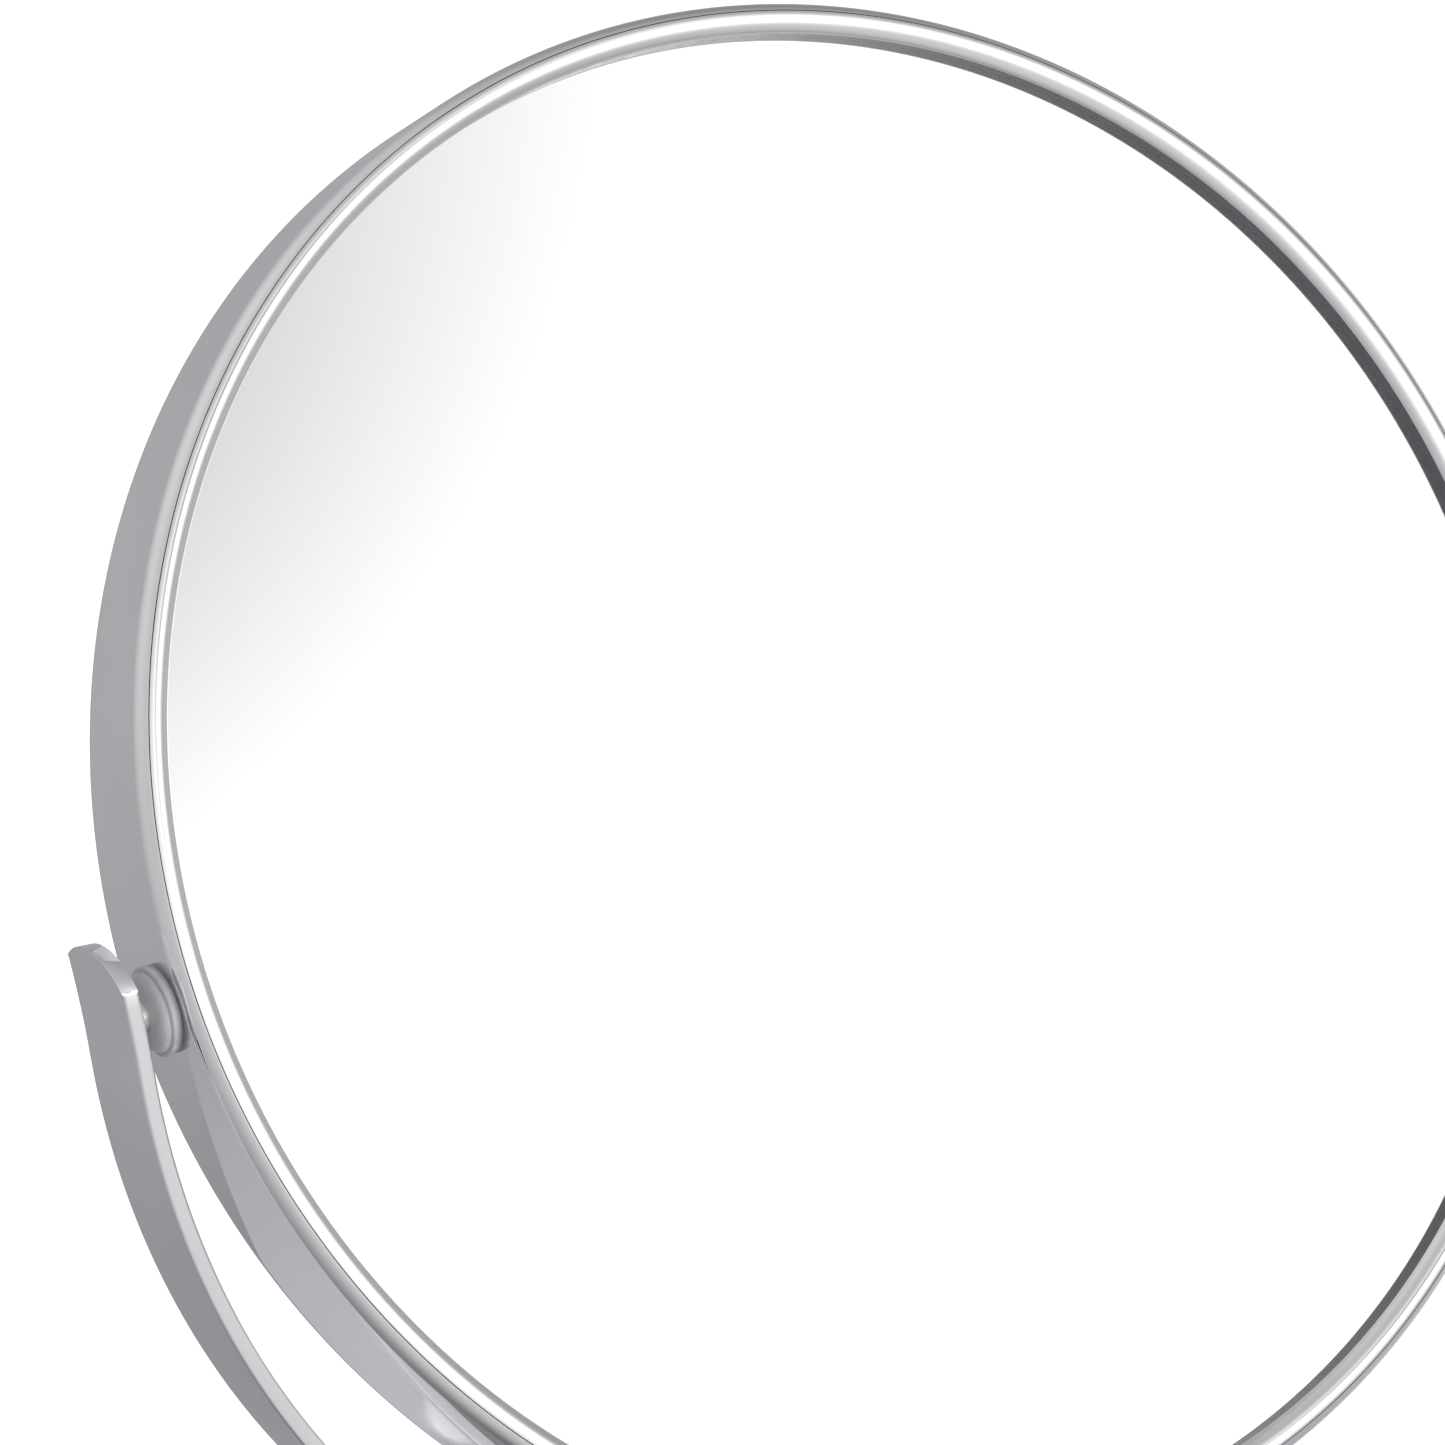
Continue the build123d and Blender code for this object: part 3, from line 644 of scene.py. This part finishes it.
def strap_spine():
    """(x, z, outward x, outward z) down the left end, round the bend and up the right end."""
    left = []
    for height in end_heights():
        lean = asin((height + YOKE_DROP) / FLARE_MIDDLE)
        x = FLARE_MIDDLE * cos(lean) - (YOKE_R + FLARE_R)
        left.append((x, height, -cos(lean), sin(lean)))
    bend = []
    for i in range(BEND_STEPS + 1):
        a = pi + pi * i / BEND_STEPS
        bend.append((MIDDLE_R * cos(a), MIDDLE_R * sin(a) - YOKE_DROP, cos(a), sin(a)))
    right = [(-x, z, -out_x, out_z) for x, z, out_x, out_z in reversed(left)]
    return left + bend + right


def side_limit(height, side):
    """Where the strip's edge lies at a height, for the rear (side 1) or the front (side -1), and its rounding."""
    rise = height - END_Z
    if rise >= END_R - 1e-6:
        return END_Y + side * 0.05, 0.01
    reach = END_Y + side * sqrt(END_R**2 - rise**2) if rise > 0 else side * 2 * STRAP_HALF
    if side * reach >= STRAP_HALF:
        return side * STRAP_HALF, EDGE_R
    return reach, min(END_EDGE_R, abs(reach - END_Y) / 2)


def strap_section(height):
    """(across, outwards) points of the strip at a height, with a rounded corner at each of its four edges."""
    half = STRAP_T / 2
    section = []
    for side, outward in ((1, 1), (1, -1), (-1, -1), (-1, 1)):
        limit, r = side_limit(height, side)
        corner = [(limit - side * r * (1 - sin(a)), outward * (half - r * (1 - cos(a))))
                  for a in (0, pi / 6, pi / 3, pi / 2)]
        section += corner if side == outward else reversed(corner)
    return section


# %% Carry the strip round its bend
points = []
for x, z, out_x, out_z in strap_spine():
    for side, outward in strap_section(z):
        points.append(centre + Vector((x + out_x * outward, side, z + out_z * outward)) * MM)
ROW = len(strap_section(0))
rows = len(points) // ROW
faces = []
for i in range(rows - 1):
    for j in range(ROW):
        k = (j + 1) % ROW
        faces.append((ROW * i + j, ROW * i + k, ROW * i + ROW + k, ROW * i + ROW + j))
faces += [tuple(range(ROW)), tuple(range(ROW * (rows - 1), ROW * rows))]
strap = new_object("yoke_strap", points, faces=faces)
strap.data.materials.append(strap_chrome)
smooth(strap, crease=40)
settle(strap, "yoke", "yoke", "yoke")
print("strap rows", rows, "points in a row", ROW)

# %% [markdown]
# ## The pivots
#
# At each end of the yoke a slim bright pin runs into the rim. On it sit two grey plastic rings: a flanged
# sleeve that belongs to the rim, and a smaller washer with a round shoulder that belongs to the yoke.
# All of them are turned about the tilt axis, once for each side, and each pair becomes one object.

# %% Turn the pins, the washers and the sleeves
PIN_R = 1.9
TIP_R = 1.2
SPIGOT_R = 1.5
WASHER_HOLE = PIN_R + 0.02
WASHER_FOOT = 91.22
WASHER_TOP = 92.4
SLEEVE_HOLE = PIN_R + 0.06
SLEEVE_R = 2.5
FLANGE_FOOT = 90.15
pin_outline = [(0, 82.6), (TIP_R - 0.3, 82.6), (TIP_R, 82.9), (TIP_R, 87.8), (PIN_R, 87.8), (PIN_R, 94.5),
               (SPIGOT_R, 94.55), (SPIGOT_R, 95.5), (0, 95.5)]
washer_outline = [(WASHER_HOLE, WASHER_FOOT), (4.5, WASHER_FOOT)]
washer_outline += [(2 + 2.5 * r, 91.4 + z) for r, z in arc(0, 0, 1, 0, 90, 12)] + [(WASHER_HOLE, WASHER_TOP)]
sleeve_outline = [(SLEEVE_HOLE, 88.0), (SLEEVE_R, 88.0), (SLEEVE_R, FLANGE_FOOT), (5.0, FLANGE_FOOT)]
sleeve_outline += arc(4.85, 90.95, 0.25, 0, 90, 5) + [(SLEEVE_HOLE, 91.2)]


def on_both_sides(name, outline_mm, material):
    """A turned piece on the tilt axis, and the same on the other side, as one object."""
    sides = [turned(f"{name}_{i}", outline_mm, centre, facing((side, 0, 0)), material, 72)
             for i, side in enumerate((1, -1))]
    return joined(name, sides)


settle(on_both_sides("pivot_pins", pin_outline, pin_steel), "yoke", "stud", "pivot_stud_left", "pivot_stud_right")
settle(on_both_sides("pivot_rings", washer_outline, grey_acetal), "yoke", "washer", "pivot_washers")
settle(on_both_sides("pivot_sleeves", sleeve_outline, grey_acetal), "mirror", "washer", "pivot_ferrules")

# %% [markdown]
# ## Rods, collar and caps
#
# The wall rod and the stem are plain bright rods with a groove for a retaining clip. The yoke sits on the
# stem's collar. A soft cap closes the stem's lower end. All of these are turned, with their heights taken
# from the boxes of the CAD nodes.

# %% Turn the rods
ROD_R = 3.0
GROOVE_R = 2.5
ROD_EDGE = 0.5


def heights(node):
    """The lowest and highest z of a node in millimetres."""
    low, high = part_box(node)
    return low[2] / MM, high[2] / MM


def rod_outline(rod_node, clip_node):
    """A rod with eased ends and a groove round its clip."""
    low, high = heights(rod_node)
    groove_low, groove_high = heights(clip_node)
    return ([(0, low)] + arc(ROD_R - ROD_EDGE, low + ROD_EDGE, ROD_EDGE, -90, 0, 4)
            + [(ROD_R, groove_low - 0.05), (GROOVE_R, groove_low - 0.05), (GROOVE_R, groove_high + 0.05),
               (ROD_R, groove_high + 0.05)]
            + arc(ROD_R - ROD_EDGE, high - ROD_EDGE, ROD_EDGE, 0, 90, 4) + [(0, high)])


def foot_of(point):
    """The point on the same upright line at the frame's own height, because outlines hold real heights."""
    return Vector((point.x, point.y, 0))


stem_line = foot_of(stem_foot)
wall_line = foot_of(wall_rod)
stem = turned("stem_rod", rod_outline("stem", "stem_clip"), stem_line, UPRIGHT, rod_chrome, 64)
settle(stem, "yoke", "rod", "stem")
upright = turned("wall_rod_bar", rod_outline("wall_rod", "wall_rod_clip"), wall_line, UPRIGHT, rod_chrome, 64)
settle(upright, "wall_bracket", "rod", "wall_rod")

# %% Turn the collar, the cap and the thrust washer
COLLAR_R = 7.0
CAP_R = 4.6
low, high = heights("stem_collar")
collar_outline = ([(ROD_R + 0.02, low)] + arc(COLLAR_R - 0.6, low + 0.6, 0.6, -90, 0, 6)
                  + arc(COLLAR_R - 1.4, high - 1.4, 1.4, 0, 90, 10) + [(ROD_R + 0.02, high)])
collar = turned("stem_collar_ring", collar_outline, stem_line, UPRIGHT, chrome, 72)
settle(collar, "yoke", "yoke", "stem_collar")
low, high = heights("stem_end_cap")
cap_outline = ([(0, low)] + arc(CAP_R - 3.0, low + 3.0, 3.0, -90, 0, 12)
               + arc(CAP_R - 0.4, high - 0.4, 0.4, 0, 90, 4)
               + [(ROD_R + 0.02, high), (ROD_R + 0.02, low + 4.2), (0, low + 4.2)])
cap = turned("stem_foot_cap", cap_outline, stem_line, UPRIGHT, grey_acetal, 72)
settle(cap, "yoke", "rod", "stem_end_cap")
low, high = heights("head_thrust_washer")
thrust_outline = [(ROD_R + 0.06, low)] + arc(5.6, low + 0.2, 0.2, -90, 0, 3) + arc(5.6, high - 0.2, 0.2, 0, 90, 3)
thrust_outline += [(ROD_R + 0.06, high)]
thrust = turned("head_washer", thrust_outline, stem_line, UPRIGHT, nylon, 72)
settle(thrust, "yoke", "nylon", "head_thrust_washer")
print("collar, cap and thrust washer turned")

# %% [markdown]
# ## Domed nuts
#
# A domed nut, drawn a little larger than in the CAD model, is a hexagon under a dome, and its corners are
# chamfered by a cone. That is the shape common
# to a turned outline and a six-sided prism, so each point of the turned outline is simply pulled in to the
# nearer of the two surfaces.

# %% Shape a domed nut
NUT_R = 5.6
NUT_SIDES = 96


def nut_outline(height):
    """(radius, height) rows from the seat over the chamfers to the top of the dome."""
    flats_top = height * 0.45
    ball = NUT_R * 0.8
    dome_rows = arc(0, flats_top + 0.3, 1.0, 0, 90, 14)
    dome = [(ball * r, flats_top + 0.3 + (height - flats_top - 0.3) * (z - flats_top - 0.3))
            for r, z in dome_rows]
    return [(3.02, 0), (4.7, 0), (5.2, 0.12), (NUT_R, 0.45), (NUT_R, flats_top - 0.45), (5.2, flats_top - 0.12),
            (4.75, flats_top), (ball, flats_top + 0.05)] + dome


def domed_nut(name, seat, up, height):
    """A nut standing on a seat, pointing up (1) or down (-1)."""
    flat = NUT_R * cos(pi / 6)
    outline_rows = nut_outline(height)
    points = []
    for r, z in outline_rows[:-1]:
        for i in range(NUT_SIDES):
            a = 2 * pi * i / NUT_SIDES
            to_flat = flat / cos((a + pi / 6) % (pi / 3) - pi / 6)
            reach = min(r, to_flat)
            points.append(seat + Vector((reach * cos(a), reach * sin(a), up * z)) * MM)
    points.append(seat + Vector((0, 0, up * height)) * MM)
    last = len(points) - 1
    faces = []
    for row in range(len(outline_rows) - 2):
        for i in range(NUT_SIDES):
            j = (i + 1) % NUT_SIDES
            a, b = row * NUT_SIDES, (row + 1) * NUT_SIDES
            faces.append((a + i, a + j, b + j, b + i))
    top = (len(outline_rows) - 2) * NUT_SIDES
    faces += [(top + i, top + (i + 1) % NUT_SIDES, last) for i in range(NUT_SIDES)]
    faces.append(tuple(range(NUT_SIDES)))
    nut = new_object(name, points, faces=faces)
    nut.data.materials.append(chrome)
    return smooth(nut, crease=22)


low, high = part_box("stem_nut")
stem_nut = domed_nut("stem_domed_nut", Vector((stem_line.x, stem_line.y, low[2])), 1, (high[2] - low[2]) / MM)
settle(stem_nut, "yoke", "nut", "stem_nut")
low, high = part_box("wall_rod_nuts")
NUT_H = 6.4
ends = [domed_nut(f"rod_nut_{i}", Vector((wall_line.x, wall_line.y, z)), up, NUT_H)
        for i, (z, up) in enumerate(((high[2] - NUT_H * MM, 1), (low[2] + NUT_H * MM, -1)))]
settle(joined("wall_rod_domed_nuts", ends), "wall_bracket", "nut", "wall_rod_nuts")
print("nut faces", len(stem_nut.data.polygons))

# %% [markdown]
# ## Pressed and cut pieces
#
# The wall plate, the channel bracket, the bars, the bushes and the clips already have their true shape in
# the CAD model. Its mesh is loose triangles, which would show in chrome as facets. So each piece is copied,
# its points are welded, and its smooth normals are weighted by area. Under the normals the shape is the same.

# %% Copy, weld and polish
COPY_WELD = 2e-6


def polished_copy(name, node, body, slot, material, crease=25):
    """A smooth copy of a CAD node that stands for it."""
    shape = bmesh.new()
    shape.from_mesh(frame["nodes"][node].data)
    bmesh.ops.remove_doubles(shape, verts=shape.verts, dist=COPY_WELD)
    bmesh.ops.dissolve_degenerate(shape, edges=shape.edges, dist=COPY_WELD)
    mesh = bpy.data.meshes.new(name)
    shape.to_mesh(mesh)
    shape.free()
    mesh.materials.clear()
    mesh.materials.append(material)
    for face in mesh.polygons:
        face.material_index = 0
    obj = bpy.data.objects.new(name, mesh)
    scene.collection.objects.link(obj)
    return settle(smooth(obj, crease), body, slot, node)


polished_copy("wall_plate_plated", "wall_plate", "wall_bracket", "wall_plate", plate_chrome)
polished_copy("channel_bracket", "rod_bracket", "wall_bracket", "bracket", plate_chrome)
polished_copy("wall_rod_spring_clip", "wall_rod_clip", "wall_bracket", "clip", spring_steel)
polished_copy("stem_spring_clip", "stem_clip", "yoke", "clip", spring_steel)
for end in ("wall", "head"):
    for level in ("upper", "lower"):
        polished_copy(f"{end}_{level}_barrel", f"{end}_bush_{level}", f"{end}_{level}_bush", "bush", plate_chrome)
for n in range(1, UNITS + 1):
    for layer_name in ("a", "b"):
        polished_copy(f"bar_{layer_name}{n}_plated", f"scissor_bar_{layer_name}{n}", f"bar_{layer_name}{n}",
                      "bar", strap_chrome)

# %% [markdown]
# ## Rivets and spacers
#
# Every pivot of the arm is a rivet with a domed head on each side and a white nylon spacer between the two
# bars. A Geometry Nodes tree sets one rivet on each point of a small cloud of points, all pointing along
# the arm's axis, and one more run of it sets the spacers. There is one mesh for each moving body, because a
# rivet turns with the bar that it is fixed in.

# %% Build the tree that sets a part on points
setter, given, result = geometry_tree("set on points", {
    "Part": "Object", "Turn": "Rotation", "Finish": "Material"})
part_info = new_node(setter, "GeometryNodeObjectInfo")
place_part = new_node(setter, "GeometryNodeInstanceOnPoints")
link_all(setter,
         (given, "Part", part_info, "Object"), (given, "Geometry", place_part, "Points"),
         (part_info, "Geometry", place_part, "Instance"), (given, "Turn", place_part, "Rotation"))
end_tree(setter, place_part, given, result)


def set_on(name, part, places, axis, material, body, slot, *nodes):
    """One mesh with a copy of the part at every place, turned along the axis."""
    obj = new_object(name, places)
    apply_tree(obj, setter, {"Part": part, "Turn": facing(axis), "Finish": material})
    return settle(smooth(obj), body, slot, *nodes)


# %% Turn the patterns for the rivets and the spacers
HEAD_R = 4.0
HEAD_H = 1.4
SHANK_R = 2.0
OUTER = 3.7
LUG = 1.5
BUTTON_R = 3.2
BUTTON_H = 1.1


def rivet_outline(left, right):
    """A shank from one height to another, with a domed head beyond each end."""
    rise = HEAD_H * 0.7
    ball = (HEAD_R**2 + rise**2) / (2 * rise)
    spread = degrees(asin(HEAD_R / ball))
    lower_dome = arc(0, left - HEAD_H + ball, ball, -90, spread - 90)
    upper_dome = arc(0, right + HEAD_H - ball, ball, 90 - spread, 90)
    shank = [(HEAD_R, left), (SHANK_R, left), (SHANK_R, right), (HEAD_R, right)]
    return lower_dome + shank + upper_dome


def pattern(name, outline_mm):
    """A turned part about Z at the origin, to be copied and then removed."""
    return turned(name, outline_mm, (0, 0, 0), UPRIGHT, chrome, 40)


long_rivet = pattern("long rivet", rivet_outline(-OUTER, OUTER))
short_rivet = pattern("short rivet", rivet_outline(-OUTER, LUG))
spacer = pattern("spacer", [(SHANK_R + 0.06, -LUG)] + arc(4.7, -LUG + 0.3, 0.3, -90, 0, 4)
                 + arc(4.7, LUG - 0.3, 0.3, 0, 90, 4) + [(SHANK_R + 0.06, LUG)])
button = pattern("button rivet", [(0, -3.8), (1.5, -3.8), (1.5, 0), (BUTTON_R, 0)]
                 + arc(BUTTON_R - 0.33, 0.33, 0.33, 0, 60, 3) + arc(0, -3.9, 5.0, 60, 90, 8))

# %% Set the rivets and the spacers on their pivots
across_arm = -arm_axis
for n in range(1, UNITS + 1):
    places = [crossings[n - 1]] + ([lower_pivots[n]] if n < UNITS else [])
    set_on(f"bar_b{n}_rivets", long_rivet, places, across_arm, chrome, f"bar_b{n}", "rivet", f"rivets_b{n}")
    set_on(f"bar_b{n}_spacers", spacer, places, across_arm, nylon, f"bar_b{n}", "nylon", f"spacers_b{n}")
for n in range(1, UNITS):
    place = [upper_pivots[n]]
    set_on(f"bar_a{n}_rivet", long_rivet, place, across_arm, chrome, f"bar_a{n}", "rivet", f"upper_rivet_a{n}")
    set_on(f"bar_a{n}_spacer", spacer, place, across_arm, nylon, f"bar_a{n}", "nylon", f"upper_spacer_a{n}")
for end, level, place, axis in (("wall", "upper", upper_pivots[0], across_arm),
                                ("wall", "lower", lower_pivots[0], arm_axis),
                                ("head", "upper", upper_pivots[UNITS], arm_axis),
                                ("head", "lower", lower_pivots[UNITS], across_arm)):
    set_on(f"{end}_{level}_lug_rivet", short_rivet, [place], axis, chrome, f"{end}_{level}_bush", "rivet",
           f"{end}_bush_{level}_rivet")

low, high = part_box("bracket_rivets")
face = low[1] + BUTTON_H * MM
places = [(0, face, z) for z in (low[2] + BUTTON_R * MM, high[2] - BUTTON_R * MM)]
set_on("bracket_button_rivets", button, places, (0, -1, 0), chrome, "wall_bracket", "rivet", "bracket_rivets")
for made in (long_rivet, short_rivet, spacer, button):
    bpy.data.objects.remove(made)

# %% [markdown]
# ## What the rim hides
#
# The hoop, the board, the foam and the brass bushes are shut inside the mirror. They keep their CAD shapes
# and only need their own finishes, for anyone who takes the mirror apart.

# %% Finish the hidden pieces
HIDDEN = {"inner_hoop": black_plastic, "backing_board": card, "foam_ring": foam, "pivot_bushes": brass}
for node, material in HIDDEN.items():
    for material_slot in frame["nodes"][node].material_slots:
        material_slot.material = material
print("hidden pieces", len(HIDDEN))
